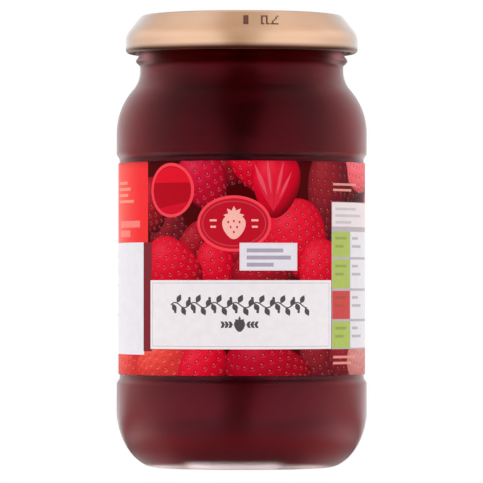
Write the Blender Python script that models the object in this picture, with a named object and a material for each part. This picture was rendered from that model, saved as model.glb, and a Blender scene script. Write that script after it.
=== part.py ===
"""A one-pound glass jam jar: glass, twist-off lid, wrap-round paper label and the jam inside.

Metres, +Z up. The origin is the centre of the circle that the jar stands on, and the label's front faces -Y.
Each piece is a turned solid: an outline of (radius, height) points spun about +Z.
"""

import math

import bmesh
import bpy

# Whole jar
WALL = 0.0026
CLEARANCE = 0.0003

# Foot and heel of the glass
PUSH_UP = 0.0030
RING_INNER_RADIUS = 0.0235
HEEL_INNER_RADIUS = 0.0250
HEEL_HEIGHT = 0.0160
HEEL_FULLNESS = 1.85
FLOOR_THICKNESS = 0.0036
FLOOR_RADIUS = 0.0215

# Body, with the label panel sunk between two bumpers
BODY_RADIUS = 0.0360
PANEL_RADIUS = 0.03515
PANEL_BOTTOM = 0.0258
PANEL_TOP = 0.0884
PANEL_EASE = 0.0056
SHOULDER_START = 0.0960
SHOULDER_RADIUS = 0.0190
SHOULDER_FILLET = 0.0080

# Neck, transfer bead and finish
NECK_RADIUS = 0.02925
BORE_RADIUS = 0.0266
BEAD_RADIUS = 0.03045
BEAD_BOTTOM = 0.1151
BEAD_TOP = 0.1184
FINISH_RADIUS = 0.0296
LIP_TOP = 0.1284
LIP_ROUND = 0.0012

# Thread: separate ramps round the finish, each thinning out over a share of its length at both ends
THREAD_STARTS = 4
THREAD_TURN = math.radians(78)
THREAD_TAPER = 0.17
THREAD_DEPTH = 0.0012
THREAD_HALF_HEIGHT = 0.0012
THREAD_HIGH = 0.1249
THREAD_LOW = 0.1228

# Lid: sloping shoulder, then a sunk panel with a raised safety button
LID_TOP = 0.1300
LID_RADIUS = 0.0334
LID_SHEET = 0.0005
LID_SKIRT_TOP = 0.1224
LID_SLOPE = math.radians(36)
LID_SLOPE_BEND = 0.0050
LID_CORNER_ROUND = 0.0017
LID_RIM_RADIUS = 0.0279
LID_STEP_DEPTH = 0.0006
LID_STEP_WIDTH = 0.0011
BUTTON_RADIUS = 0.0125
BUTTON_STEP = 0.0022
BUTTON_RISE = 0.0004

# Curled lower edge of the lid, and the lugs pressed into it
CURL_ROUND = 0.0012
CURL_BOTTOM = 0.1189
CURL_TURN = math.radians(240)
LUG_REACH = 0.0010
LUG_ANGLE = math.radians(13)

# Label
LABEL_BOTTOM = 0.0268
LABEL_TOP = 0.0873
LABEL_GAP = 0.0002
LABEL_THICKNESS = 0.0002

# Jam: its top sinks a little from the rim to the middle, over a share of the radius
JAM_LEVEL = 0.1216
JAM_SAG = 0.0007
JAM_SAG_SHARE = 0.4

# Fineness: sides of a turned piece, steps along each curve of its outline, and where shading breaks
SIDES = 56
DOME_STEPS = 3
HEEL_STEPS = 8
FLOOR_CORNER_STEPS = 5
PANEL_STEPS = 3
SHOULDER_STEPS = 4
BEAD_STEPS = 4
FINISH_ROWS = 9
LIP_STEPS = 3
LID_BEND_STEPS = 3
CURL_STEPS = 7
LABEL_ROWS = 4
MERGE_DISTANCE = 1e-6
SHARP_ANGLE = math.radians(35)


def clear_scene():
    """Removes whatever the file opened with."""
    for obj in list(bpy.data.objects):
        bpy.data.objects.remove(obj, do_unlink=True)


def arc(centre, radius, start, end, steps):
    """Points on a circle about centre, from start to end in radians, both included."""
    points = []
    for i in range(steps + 1):
        angle = start + (end - start) * i / steps
        points.append((centre[0] + radius * math.cos(angle), centre[1] + radius * math.sin(angle)))
    return points


def eased(share):
    """Runs from 0 to 1 with a level start and end."""
    share = min(max(share, 0.0), 1.0)
    return share * share * (3 - 2 * share)


def dome(radius, edge, middle):
    """A shallow dome from the axis out to its radius, between two heights."""
    points = []
    for i in range(DOME_STEPS + 1):
        share = i / DOME_STEPS
        points.append((radius * share, middle + (edge - middle) * share**2))
    return points


def body_radius(height):
    """Outer radius of the glass between the heel and the shoulder."""
    below = eased((PANEL_BOTTOM - height) / PANEL_EASE)
    above = eased((height - PANEL_TOP) / PANEL_EASE)
    return PANEL_RADIUS + (BODY_RADIUS - PANEL_RADIUS) * (below + above)


def body_wall(inset):
    """The wall from the heel to the shoulder, moved in by inset, with points only where it bends."""
    shares = [i / PANEL_STEPS for i in range(PANEL_STEPS + 1)]
    lower = [PANEL_BOTTOM - PANEL_EASE * (1 - share) for share in shares]
    upper = [PANEL_TOP + PANEL_EASE * share for share in shares]
    return [(body_radius(z) - inset, z) for z in lower + upper]


def heel(inner_radius, low, outer_radius, high, steps):
    """A superellipse quarter from the foot at (inner_radius, low) up to the wall at (outer_radius, high)."""
    points = []
    for i in range(steps + 1):
        angle = math.pi / 2 * i / steps
        out = math.sin(angle) ** (2 / HEEL_FULLNESS)
        down = math.cos(angle) ** (2 / HEEL_FULLNESS)
        points.append((inner_radius + (outer_radius - inner_radius) * out, high - (high - low) * down))
    return points


def shoulder(convex, concave, outer_radius, inner_radius):
    """Two arcs that meet in a slope: out of the wall, then into the neck."""
    turn = math.acos(1 - (outer_radius - inner_radius) / (convex + concave))
    rise = (convex + concave) * math.sin(turn)
    first_centre = (outer_radius - convex, SHOULDER_START)
    second_centre = (inner_radius + concave, SHOULDER_START + rise)
    first = arc(first_centre, convex, 0, turn, SHOULDER_STEPS)
    second = arc(second_centre, concave, math.pi + turn, math.pi, SHOULDER_STEPS)
    return first + second[1:]


def bead():
    """The round ring under the lid that the glassworks holds the jar by."""
    middle = (BEAD_TOP + BEAD_BOTTOM) / 2
    half = (BEAD_TOP - BEAD_BOTTOM) / 2
    points = []
    for i in range(BEAD_STEPS + 1):
        share = i / BEAD_STEPS
        angle = math.pi * (share - 0.5)
        root = NECK_RADIUS + (FINISH_RADIUS - NECK_RADIUS) * share
        points.append((root + (BEAD_RADIUS - root) * math.cos(angle), middle + half * math.sin(angle)))
    return points


def finish():
    """The threaded stretch above the bead, in even rows so that the thread can be raised on it."""
    top = LIP_TOP - LIP_ROUND
    rows = [BEAD_TOP + (top - BEAD_TOP) * i / FINISH_ROWS for i in range(1, FINISH_ROWS)]
    lip = arc((FINISH_RADIUS - LIP_ROUND, top), LIP_ROUND, 0, math.pi / 2, LIP_STEPS)
    return [(FINISH_RADIUS, z) for z in rows] + lip


def glass_outside():
    """Outline from the middle of the push-up, round the foot and up to the lip."""
    return (
        dome(RING_INNER_RADIUS, 0.0, PUSH_UP)
        + heel(HEEL_INNER_RADIUS, 0.0, BODY_RADIUS, HEEL_HEIGHT, HEEL_STEPS)
        + body_wall(0.0)
        + shoulder(SHOULDER_RADIUS, SHOULDER_FILLET, BODY_RADIUS, NECK_RADIUS)
        + bead()
        + finish()
    )


def glass_inside(inset):
    """Outline from the middle of the floor up to the neck, moved into the hollow by inset."""
    floor_edge = FLOOR_THICKNESS + inset
    depth = WALL + inset
    wall_radius = BODY_RADIUS - depth
    floor = dome(FLOOR_RADIUS, floor_edge, floor_edge + PUSH_UP)
    corner = heel(FLOOR_RADIUS, floor_edge, wall_radius, HEEL_HEIGHT + FLOOR_THICKNESS, FLOOR_CORNER_STEPS)
    neck = shoulder(SHOULDER_RADIUS - depth, SHOULDER_FILLET + depth, wall_radius, BORE_RADIUS - inset)
    return floor[:-1] + corner[:-1] + body_wall(depth) + neck


def turned(name, outline, closed, material):
    """Spins an outline of (radius, height) points about +Z into a solid of its own object."""
    shape = bmesh.new()
    rim = [shape.verts.new((radius, 0.0, height)) for radius, height in outline]
    pairs = list(zip(rim, rim[1:]))
    if closed:
        pairs.append((rim[-1], rim[0]))
    edges = [shape.edges.new(pair) for pair in pairs]
    bmesh.ops.spin(
        shape,
        geom=rim + edges,
        cent=(0, 0, 0),
        axis=(0, 0, 1),
        angle=2 * math.pi,
        steps=SIDES,
        use_merge=True,
    )
    bmesh.ops.remove_doubles(shape, verts=shape.verts, dist=MERGE_DISTANCE)
    bmesh.ops.recalc_face_normals(shape, faces=shape.faces)
    mesh = bpy.data.meshes.new(name)
    shape.to_mesh(mesh)
    shape.free()
    mesh.materials.append(material)
    mesh.shade_smooth()
    mesh.set_sharp_from_angle(angle=SHARP_ANGLE)
    obj = bpy.data.objects.new(name, mesh)
    bpy.context.scene.collection.objects.link(obj)
    return obj


def surface(name, colour, roughness, metallic=0.0, transmission=0.0):
    """A Principled material in one colour."""
    material = bpy.data.materials.new(name)
    material.use_nodes = True
    shader = material.node_tree.nodes["Principled BSDF"]
    shader.inputs["Base Color"].default_value = (*colour, 1.0)
    shader.inputs["Roughness"].default_value = roughness
    shader.inputs["Metallic"].default_value = metallic
    shader.inputs["Transmission Weight"].default_value = transmission
    material.diffuse_color = (*colour, 1.0)
    return material


def thread_rise(angle, height):
    """How far the thread stands out of the finish at this place."""
    pitch = 2 * math.pi / THREAD_STARTS
    along = (angle % pitch) / THREAD_TURN
    if along >= 1:
        return 0.0
    ends = min(1.0, along / THREAD_TAPER, (1 - along) / THREAD_TAPER)
    middle = THREAD_HIGH + (THREAD_LOW - THREAD_HIGH) * along
    off = abs(height - middle) / THREAD_HALF_HEIGHT
    return THREAD_DEPTH * ends * math.cos(math.pi / 2 * min(off, 1.0))


def raise_thread(jar):
    """Pushes the finish out along the thread's ramps."""
    for vertex in jar.data.vertices:
        x, y, z = vertex.co
        radius = math.hypot(x, y)
        on_finish = abs(radius - FINISH_RADIUS) < CLEARANCE and BEAD_TOP < z < LIP_TOP - LIP_ROUND
        if on_finish:
            scale = 1 + thread_rise(math.atan2(y, x), z) / radius
            vertex.co.x = x * scale
            vertex.co.y = y * scale


def make_glass():
    """The jar itself: one hollow of even wall, with a thick floor."""
    clear = surface("clear_glass", (0.95, 0.97, 0.96), 0.03, transmission=1.0)
    outline = glass_outside() + glass_inside(0.0)[::-1]
    jar = turned("glass_jar", outline, False, clear)
    raise_thread(jar)
    return jar


def lid_shell():
    """The lid's outer outline, from the middle of its top down to the skirt."""
    panel = LID_TOP - LID_STEP_DEPTH
    top = [
        (0.0, panel + BUTTON_RISE),
        (BUTTON_RADIUS, panel + BUTTON_RISE),
        (BUTTON_RADIUS + BUTTON_STEP, panel),
        (LID_RIM_RADIUS - LID_STEP_WIDTH, panel),
    ]
    corner_centre = (LID_RIM_RADIUS, LID_TOP - LID_CORNER_ROUND)
    corner = arc(corner_centre, LID_CORNER_ROUND, math.pi / 2, LID_SLOPE, LID_BEND_STEPS)
    bend_centre = (LID_RADIUS - LID_SLOPE_BEND, LID_SKIRT_TOP)
    bend = arc(bend_centre, LID_SLOPE_BEND, LID_SLOPE, 0, LID_BEND_STEPS)
    return top + corner + bend


def inward(points, distance):
    """The outline moved to its inner side, square to itself at each point."""
    moved = []
    for i, (radius, height) in enumerate(points):
        before = points[max(i - 1, 0)]
        after = points[min(i + 1, len(points) - 1)]
        along = (after[0] - before[0], after[1] - before[1])
        length = math.hypot(*along)
        moved.append((max(radius + distance * along[1] / length, 0.0), height - distance * along[0] / length))
    return moved


def curl():
    """The rolled lower edge of the skirt, from its outer side round to the inner wall."""
    centre = (LID_RADIUS - CURL_ROUND, CURL_BOTTOM + CURL_ROUND)
    return arc(centre, CURL_ROUND, 0, -CURL_TURN, CURL_STEPS)


def push_lugs(lid):
    """Presses the curl inwards at each thread start, where the lugs grip."""
    low = CURL_BOTTOM + 2 * CURL_ROUND
    roll_middle = LID_RADIUS - CURL_ROUND
    pitch = 2 * math.pi / THREAD_STARTS
    for vertex in lid.data.vertices:
        x, y, z = vertex.co
        radius = math.hypot(x, y)
        off = abs((math.atan2(y, x) + pitch / 2) % pitch - pitch / 2)
        if z < low and radius < roll_middle and off < LUG_ANGLE:
            scale = 1 - LUG_REACH * math.cos(math.pi / 2 * off / LUG_ANGLE) / radius
            vertex.co.x = x * scale
            vertex.co.y = y * scale


def make_lid():
    """The twist-off lid: one pressed sheet with a sunk panel, a sloping shoulder and a curled edge."""
    gold = surface("gold_lacquer", (0.80, 0.55, 0.33), 0.35, metallic=0.6)
    shell = lid_shell()
    lining = inward(shell, LID_SHEET)
    lid = turned("lid", shell + curl() + lining[::-1], False, gold)
    push_lugs(lid)
    return lid


def make_label():
    """The paper label: one thin ring round the panel."""
    paper = surface("printed_paper", (0.62, 0.02, 0.05), 0.45)
    inner = PANEL_RADIUS + LABEL_GAP
    outer = inner + LABEL_THICKNESS
    heights = [LABEL_BOTTOM + (LABEL_TOP - LABEL_BOTTOM) * i / LABEL_ROWS for i in range(LABEL_ROWS + 1)]
    outline = [(outer, z) for z in heights] + [(inner, z) for z in heights[::-1]]
    return turned("label", outline, True, paper)


def make_jam():
    """The jam: the hollow's own shape, a little smaller, up to the fill level."""
    red = surface("strawberry_jam", (0.12, 0.004, 0.008), 0.25)
    below = [point for point in glass_inside(CLEARANCE) if point[1] < JAM_LEVEL]
    edge = BORE_RADIUS - CLEARANCE
    middle = JAM_LEVEL - JAM_SAG
    top = [(edge, JAM_LEVEL), (edge * (1 - JAM_SAG_SHARE), middle), (0.0, middle)]
    return turned("jam", below + top, False, red)


clear_scene()
make_glass()
make_lid()
make_label()
make_jam()
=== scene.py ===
"""Looks of a one-pound jam jar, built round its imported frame.

Metres, +Z up, and the label's front faces -Y. Glass, jam and lid are turned pieces, of a finer outline than
the frame's. The label is drawn flat in millimetres as fields of colour, cut into triangles and wrapped.
"""

import math
import random

import bpy
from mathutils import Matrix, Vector, geometry, noise


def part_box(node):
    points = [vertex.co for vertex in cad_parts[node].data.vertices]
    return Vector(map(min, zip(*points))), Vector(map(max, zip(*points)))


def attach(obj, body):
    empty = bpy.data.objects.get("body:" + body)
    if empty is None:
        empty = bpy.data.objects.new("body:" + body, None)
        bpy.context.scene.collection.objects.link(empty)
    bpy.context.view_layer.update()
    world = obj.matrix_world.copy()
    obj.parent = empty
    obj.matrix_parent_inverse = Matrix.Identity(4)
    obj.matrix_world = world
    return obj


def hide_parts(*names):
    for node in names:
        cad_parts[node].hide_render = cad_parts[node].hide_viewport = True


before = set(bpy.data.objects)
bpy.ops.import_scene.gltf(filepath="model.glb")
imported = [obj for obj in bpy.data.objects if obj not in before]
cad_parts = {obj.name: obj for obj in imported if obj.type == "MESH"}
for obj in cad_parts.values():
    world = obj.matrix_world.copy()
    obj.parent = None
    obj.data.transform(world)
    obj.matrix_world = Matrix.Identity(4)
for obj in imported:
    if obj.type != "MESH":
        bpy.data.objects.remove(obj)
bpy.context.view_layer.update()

MM = 0.001

# The photograph's framing: pixels, and the jar's place in them
PHOTO_SIZE = 483
PIXEL = 0.288 * MM
AXIS_COLUMN = 241.7
FOOT_ROW = 466.8
CAMERA_DISTANCE = 1.370
EYE_HEIGHT = 0.052
SENSOR = 36.0

# Sizes read from the frame
GLASS_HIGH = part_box("glass_jar")[1]
BODY_RADIUS = GLASS_HIGH.x
LIP_TOP = GLASS_HIGH.z
JAM_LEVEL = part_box("jam")[1].z
LID_LOW, LID_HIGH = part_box("lid")
LID_RADIUS = LID_HIGH.x
LID_TOP = LID_HIGH.z
CURL_BOTTOM = LID_LOW.z
LABEL_LOW, LABEL_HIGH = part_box("label")
LABEL_RADIUS = LABEL_HIGH.x
LABEL_BOTTOM = LABEL_LOW.z
LABEL_TOP = LABEL_HIGH.z

# Foot, heel and body of the glass
WALL = 2.6 * MM
PUSH_UP = 3.0 * MM
RING_INNER_RADIUS = 23.5 * MM
HEEL_INNER_RADIUS = 25.0 * MM
HEEL_HEIGHT = 16.0 * MM
HEEL_FULLNESS = 1.85
FLOOR_THICKNESS = 3.6 * MM
FLOOR_RADIUS = 21.5 * MM
PANEL_RADIUS = 35.15 * MM
PANEL_BOTTOM = 25.8 * MM
PANEL_TOP = 88.4 * MM
PANEL_EASE = 1.8 * MM
SHOULDER_START = 96.0 * MM
SHOULDER_RADIUS = 19.0 * MM
SHOULDER_FILLET = 8.0 * MM

# Neck, bead, finish and thread
NECK_RADIUS = 29.25 * MM
BORE_RADIUS = 26.6 * MM
BEAD_RADIUS = 30.45 * MM
BEAD_BOTTOM = 115.1 * MM
BEAD_TOP = 118.4 * MM
FINISH_RADIUS = 29.6 * MM
LIP_ROUND = 1.2 * MM
THREAD_STARTS = 4
THREAD_TURN = math.radians(78)
THREAD_TAPER = 0.17
THREAD_DEPTH = 1.2 * MM
THREAD_HALF_HEIGHT = 1.2 * MM
THREAD_HIGH = 124.9 * MM
THREAD_LOW = 122.8 * MM

# Small faults of moulded glass: a slow ripple, two mould seams and a knurled foot
RIPPLE_DEPTH = 0.035 * MM
RIPPLE_LENGTH = 17.0 * MM
SEAM_HEIGHT = 0.10 * MM
SEAM_HALF_ANGLE = math.radians(0.7)
KNURLS = 90
KNURL_DEPTH = 0.12 * MM
KNURL_HEIGHT = 3.6 * MM

# Jam: it reaches a little into the wall, so that no air shows between them
JAM_BITE = 0.25 * MM
JAM_SAG = 0.7 * MM
JAM_EDGE = 4.0 * MM
JAM_LUMP = 0.5 * MM
JAM_LUMP_LENGTH = 7.0 * MM

# Lid
SHEET = 0.25 * MM
SKIRT_TOP = 122.4 * MM
SLOPE = math.radians(36)
SLOPE_BEND = 5.0 * MM
CORNER_ROUND = 1.7 * MM
RIM_RADIUS = 27.9 * MM
STEP_DEPTH = 0.6 * MM
STEP_WIDTH = 1.1 * MM
BUTTON_RADIUS = 12.5 * MM
BUTTON_STEP = 2.2 * MM
BUTTON_RISE = 0.4 * MM
BUTTON_FALL = 0.1 * MM
CURL_ROUND = 1.2 * MM
CURL_TURN = math.radians(255)
LUG_REACH = 1.0 * MM
LUG_ANGLE = math.radians(13)

# Label sheet: its thickness, how far its end is lifted over its start, and lengths along it in millimetres
PAPER = 0.16 * MM
LIFT = 1.1 * PAPER
LIFT_LENGTH = 2.0
OVERLAP = 7.0
SEAM_ARC = 108.0

# Fineness of turned pieces
SIDES = 192
ON_AXIS = 1e-7
SHARP_ANGLE = math.radians(40)


def srgb(red, green, blue):
    """A colour given as on a screen, 0 to 255, in the linear numbers that shaders use."""
    linear = []
    for value in (red, green, blue):
        share = value / 255
        linear.append(share / 12.92 if share <= 0.04045 else ((share + 0.055) / 1.055) ** 2.4)
    return tuple(linear)


def eased(share):
    """Runs from 0 to 1 with a level start and end."""
    share = min(max(share, 0.0), 1.0)
    return share * share * (3 - 2 * share)


def mixed(first, second, share):
    """A colour between two others."""
    share = min(max(share, 0.0), 1.0)
    return tuple(a + (b - a) * share for a, b in zip(first, second))


def steps(count):
    """Even shares from 0 to 1, both included."""
    return [i / count for i in range(count + 1)]


# Camera, light and floor


def add_object(name, data):
    """Puts a mesh or a camera into the scene."""
    made = bpy.data.objects.new(name, data)
    bpy.context.scene.collection.objects.link(made)
    return made


def make_camera():
    """The photograph's view: level with the label's lower half, from well back."""
    horizon_row = FOOT_ROW - EYE_HEIGHT / PIXEL
    middle = PHOTO_SIZE / 2
    aim_height = EYE_HEIGHT + (horizon_row - middle) * PIXEL
    aside = (middle - AXIS_COLUMN) * PIXEL
    data = bpy.data.cameras.new("camera")
    data.sensor_width = SENSOR
    data.lens = SENSOR * CAMERA_DISTANCE / (PHOTO_SIZE * PIXEL)
    data.clip_start = 0.05
    data.clip_end = 50.0
    camera = add_object("camera", data)
    camera.location = (aside, -CAMERA_DISTANCE, EYE_HEIGHT)
    look = Vector((aside, 0.0, aim_height)) - camera.location
    camera.rotation_euler = look.to_track_quat("-Z", "Y").to_euler()
    bpy.context.scene.camera = camera


class Graph:
    """Short ways to add and join a tree's nodes. A value is a number, a colour or a node's socket."""

    def __init__(self, tree):
        self.tree = tree

    def node(self, kind, settings=None, inputs=None):
        """Adds a node, named without the word ShaderNode that each kind begins with."""
        made = self.tree.nodes.new("ShaderNode" + kind)
        for name, value in (settings or {}).items():
            setattr(made, name, value)
        self.feed(made, inputs or {})
        return made

    def feed(self, node, inputs):
        """Sets a node's sockets to values, or joins other nodes' sockets to them."""
        for name, value in inputs.items():
            if isinstance(value, bpy.types.NodeSocket):
                self.tree.links.new(value, node.inputs[name])
            else:
                node.inputs[name].default_value = value

    def maths(self, operation, first, second=0.0):
        """One Math node's result."""
        return self.node("Math", {"operation": operation}, {0: first, 1: second}).outputs[0]

    def times(self, first, *others):
        """The product of several values."""
        for other in others:
            first = self.maths("MULTIPLY", first, other)
        return first

    def vector_maths(self, operation, inputs):
        """One Vector Math node."""
        return self.node("VectorMath", {"operation": operation}, inputs)

    def parts(self, vector):
        """A vector's parts, by name."""
        return self.node("SeparateXYZ", inputs={0: vector}).outputs

    def off(self, value, middle=0.0):
        """How far a value lies from a middle, to either side."""
        return self.maths("ABSOLUTE", self.maths("SUBTRACT", value, middle))

    def stretch(self, value, low, high, to_low=0.0, to_high=1.0, smooth=True):
        """Maps low..high onto to_low..to_high, clamped."""
        kind = "SMOOTHSTEP" if smooth else "LINEAR"
        inputs = dict(enumerate((value, low, high, to_low, to_high)))
        return self.node("MapRange", {"interpolation_type": kind}, inputs).outputs[0]

    def mix(self, share, first, second, kind="MIX"):
        """One colour mixed into another."""
        first, second = [(*value, 1.0) if isinstance(value, tuple) else value for value in (first, second)]
        settings = {"data_type": "RGBA", "blend_type": kind}
        return self.node("Mix", settings, {0: share, 6: first, 7: second}).outputs[2]

    def noise(self, vector, length, detail, rough=0.5):
        """Noise whose lumps are about length metres across."""
        inputs = {"Vector": vector, "Scale": 1 / length, "Detail": detail, "Roughness": rough}
        return self.node("TexNoise", inputs=inputs).outputs["Fac"]

    def aside(self, direction):
        """How many degrees a direction lies to the side of the camera's, seen from the jar."""
        parts = self.parts(direction)
        turn = self.maths("ARCTAN2", parts["X"], self.times(parts["Y"], -1.0))
        return self.off(self.maths("DEGREES", turn))

    def bump(self, height, strength, distance):
        """A normal that follows a height."""
        inputs = {"Height": height, "Strength": strength, "Distance": distance}
        return self.node("Bump", inputs=inputs).outputs["Normal"]


# Studio: the light of each part of the room, and where one part passes into the next. A turn is in degrees
# round from the camera. The other edges are how far across, back or up a direction points
SOFTBOX_LIGHT = 1.45
SLOT_LIGHT = 0.05
SIDE_LIGHT = 1.0
BACK_LIGHT = 1.14
BELT_LIGHT = 0.62
SIDE_TURN = (62.0, 108.0)
BACK_TURN = (115.0, 142.0)
SLOT_EDGE = (0.13, 0.50)
BACK_EDGE = (-0.05, 0.22)
BELT_EDGE = (0.32, 0.66)
ZENITH_EDGE = (0.84, 0.95)


def make_world():
    """A white room: soft lights beside the camera, a dark slot between them and a dimmer belt high up."""
    world = bpy.data.worlds.new("studio")
    bpy.context.scene.world = world
    world.use_nodes = True
    graph = Graph(world.node_tree)
    direction = graph.node("TexCoord").outputs["Generated"]
    parts = graph.parts(direction)
    aside = graph.aside(direction)
    sides = graph.stretch(aside, *SIDE_TURN, SOFTBOX_LIGHT, SIDE_LIGHT)
    rear = graph.stretch(aside, *BACK_TURN, 0.0, BACK_LIGHT - SIDE_LIGHT)
    into_belt = graph.stretch(parts["Z"], *BELT_EDGE, 1.0, BELT_LIGHT)
    out_of_belt = graph.stretch(parts["Z"], *ZENITH_EDGE, 0.0, 1.0 - BELT_LIGHT)
    beside_slot = graph.stretch(graph.off(parts["X"]), *SLOT_EDGE)
    behind = graph.stretch(parts["Y"], *BACK_EDGE)
    room = graph.times(
        graph.maths("MAXIMUM", beside_slot, behind),
        graph.maths("ADD", sides, rear),
        graph.maths("ADD", into_belt, out_of_belt),
    )
    room = graph.maths("MAXIMUM", room, SLOT_LIGHT)
    seen = graph.node("LightPath").outputs["Is Camera Ray"]
    strength = graph.stretch(seen, 0.0, 1.0, room, 1.0)
    background = world.node_tree.nodes["Background"]
    graph.feed(background, {"Color": (1.0, 1.0, 1.0, 1.0), "Strength": strength})


# Table: its light in the gloss, its dark slot, the dim light near the foot, and the light that the jar throws
# in front of the foot, wide right at the foot and narrow further out. A turn is in degrees, an edge without
# a unit is how far across a place lies, and a reach is a ray's length
FLOOR_HALF = 3.0
TABLE_LIGHT = 2.35
TABLE_SIDE_LIGHT = 0.30
TABLE_BACK_LIGHT = 1.45
TABLE_SIDE_TURN = (62.0, 120.0)
TABLE_BACK_TURN = (121.0, 150.0)
TABLE_EDGE = (34.0 * MM, 56.0 * MM)
TABLE_SLOT_MIDDLE = -0.055
TABLE_SLOT_EDGE = (0.08, 0.26)
NEAR_LIGHT = 0.55
NEAR_FRONT_SHARE = 0.16
NEAR_EDGE = (46.0 * MM, 30.0 * MM)
NEAR_SIDE_EDGE = (0.5, 0.85)
GLOW_LIGHT = 12.0
GLOW_COLOUR = (1.0, 0.86, 0.84)
GLOW_MIDDLE = -2.4 * MM
GLOW_EDGE = (28.4 * MM, 31.0 * MM)
GLOW_RIM_EDGE = (26.2 * MM, 28.0 * MM)
GLOW_RIM_SHARE = 0.20
GLOW_SIDE_EDGE = (10.6 * MM, 16.6 * MM)
GLOW_REACH = (2.8 * MM, 4.4 * MM)
FOOT_GLOW_SHARE = 0.54
FOOT_GLOW_SIDE_EDGE = (22.0 * MM, 30.0 * MM)
FOOT_GLOW_REACH = (0.6 * MM, 2.9 * MM)
FIRST_MIRROR = 1.5


def make_floor():
    """A lit white table, so bright that no shadow shows. The gloss sees it dim near the jar, with a glow."""
    mesh = bpy.data.meshes.new("floor")
    corners = [(-1, -1), (1, -1), (1, 1), (-1, 1)]
    mesh.from_pydata([(x * FLOOR_HALF, y * FLOOR_HALF, 0.0) for x, y in corners], [], [(0, 1, 2, 3)])
    material, graph, shader, place = new_material("lit_table")
    distance = graph.vector_maths("LENGTH", {0: place}).outputs["Value"]
    parts = graph.parts(place)
    path = graph.node("LightPath").outputs
    across = graph.maths("DIVIDE", parts["X"], distance)
    aside = graph.aside(place)
    sides = graph.stretch(aside, *TABLE_SIDE_TURN, TABLE_LIGHT, TABLE_SIDE_LIGHT)
    rear = graph.stretch(aside, *TABLE_BACK_TURN, 0.0, TABLE_BACK_LIGHT - TABLE_SIDE_LIGHT)
    lit = graph.stretch(graph.off(across, TABLE_SLOT_MIDDLE), *TABLE_SLOT_EDGE)
    away = graph.stretch(distance, *TABLE_EDGE)
    table = graph.times(lit, away, graph.maths("ADD", sides, rear))
    near = graph.stretch(distance, *NEAR_EDGE, 0.0, NEAR_LIGHT)
    near_side = graph.stretch(graph.off(across), *NEAR_SIDE_EDGE, NEAR_FRONT_SHARE, 1.0)
    table = graph.maths("ADD", table, graph.times(near, near_side))
    off = graph.off(parts["X"], GLOW_MIDDLE)
    narrow = graph.stretch(off, *GLOW_SIDE_EDGE, 1.0, 0.0)
    narrow = graph.times(narrow, graph.stretch(path["Ray Length"], *GLOW_REACH, 1.0, 0.0))
    wide = graph.stretch(off, *FOOT_GLOW_SIDE_EDGE, 1.0, 0.0)
    wide = graph.times(wide, graph.stretch(path["Ray Length"], *FOOT_GLOW_REACH, FOOT_GLOW_SHARE, 0.0))
    glow = graph.times(
        graph.stretch(distance, *GLOW_EDGE, GLOW_LIGHT, 0.0),
        graph.stretch(distance, *GLOW_RIM_EDGE, GLOW_RIM_SHARE, 1.0),
        graph.maths("MAXIMUM", narrow, wide),
        graph.maths("LESS_THAN", parts["Y"], 0.0),
        graph.maths("LESS_THAN", path["Ray Depth"], FIRST_MIRROR),
    )
    glow = graph.vector_maths("SCALE", {0: GLOW_COLOUR, "Scale": glow}).outputs[0]
    mirrored = graph.mix(1.0, glow, table, "ADD")
    graph.feed(shader, {
        "Emission Color": graph.mix(path["Is Glossy Ray"], (1.0, 1.0, 1.0), mirrored),
        "Emission Strength": 1.0,
        "Base Color": (0.0, 0.0, 0.0, 1.0),
        "Roughness": 1.0,
        "Specular IOR Level": 0.0,
    })
    mesh.materials.append(material)
    add_object("floor", mesh)


def new_material(name):
    """A material with its graph, its Principled shader and the places on the object."""
    material = bpy.data.materials.new(name)
    material.use_nodes = True
    graph = Graph(material.node_tree)
    place = graph.node("TexCoord").outputs["Object"]
    return material, graph, material.node_tree.nodes["Principled BSDF"], place


# Turned pieces


def arc(centre, radius, start, end, count):
    """Points on a circle about centre, from start to end in radians, both included."""
    points = []
    for share in steps(count):
        angle = start + (end - start) * share
        points.append((centre[0] + radius * math.cos(angle), centre[1] + radius * math.sin(angle)))
    return points


def turned(name, outline, material):
    """Spins an outline of (radius, height) points about +Z. Points on the axis become one vertex."""
    points = []
    rings = []
    for radius, height in outline:
        if radius < ON_AXIS:
            rings.append([len(points)] * SIDES)
            points.append((0.0, 0.0, height))
            continue
        rings.append(range(len(points), len(points) + SIDES))
        for k in range(SIDES):
            angle = 2 * math.pi * k / SIDES
            points.append((radius * math.cos(angle), radius * math.sin(angle), height))
    faces = []
    for low, high in zip(rings, rings[1:]):
        for k in range(SIDES):
            after = (k + 1) % SIDES
            corners = dict.fromkeys((low[k], low[after], high[after], high[k]))
            faces.append(tuple(corners))
    mesh = bpy.data.meshes.new(name)
    mesh.from_pydata(points, [], faces)
    mesh.materials.append(material)
    mesh.shade_smooth()
    mesh.set_sharp_from_angle(angle=SHARP_ANGLE)
    return add_object(name, mesh)


def add_piece(piece, node):
    """Fixes a piece to the jar, and hides the frame's part that it stands for."""
    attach(piece, "root")
    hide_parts(node)


# Glass


def dome(radius, edge, middle, count):
    """A shallow dome from the axis out to its radius, between two heights."""
    return [(radius * share, middle + (edge - middle) * share**2) for share in steps(count)]


def heel(inner_radius, low, outer_radius, high, count):
    """A superellipse quarter from the foot at (inner_radius, low) up to the wall at (outer_radius, high)."""
    points = []
    for share in steps(count):
        angle = math.pi / 2 * share
        out = math.sin(angle) ** (2 / HEEL_FULLNESS)
        down = math.cos(angle) ** (2 / HEEL_FULLNESS)
        points.append((inner_radius + (outer_radius - inner_radius) * out, high - (high - low) * down))
    return points


def body_radius(height):
    """Outer radius of the glass between the heel and the shoulder."""
    below = eased((PANEL_BOTTOM - height) / PANEL_EASE)
    above = eased((height - PANEL_TOP) / PANEL_EASE)
    return PANEL_RADIUS + (BODY_RADIUS - PANEL_RADIUS) * (below + above)


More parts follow.
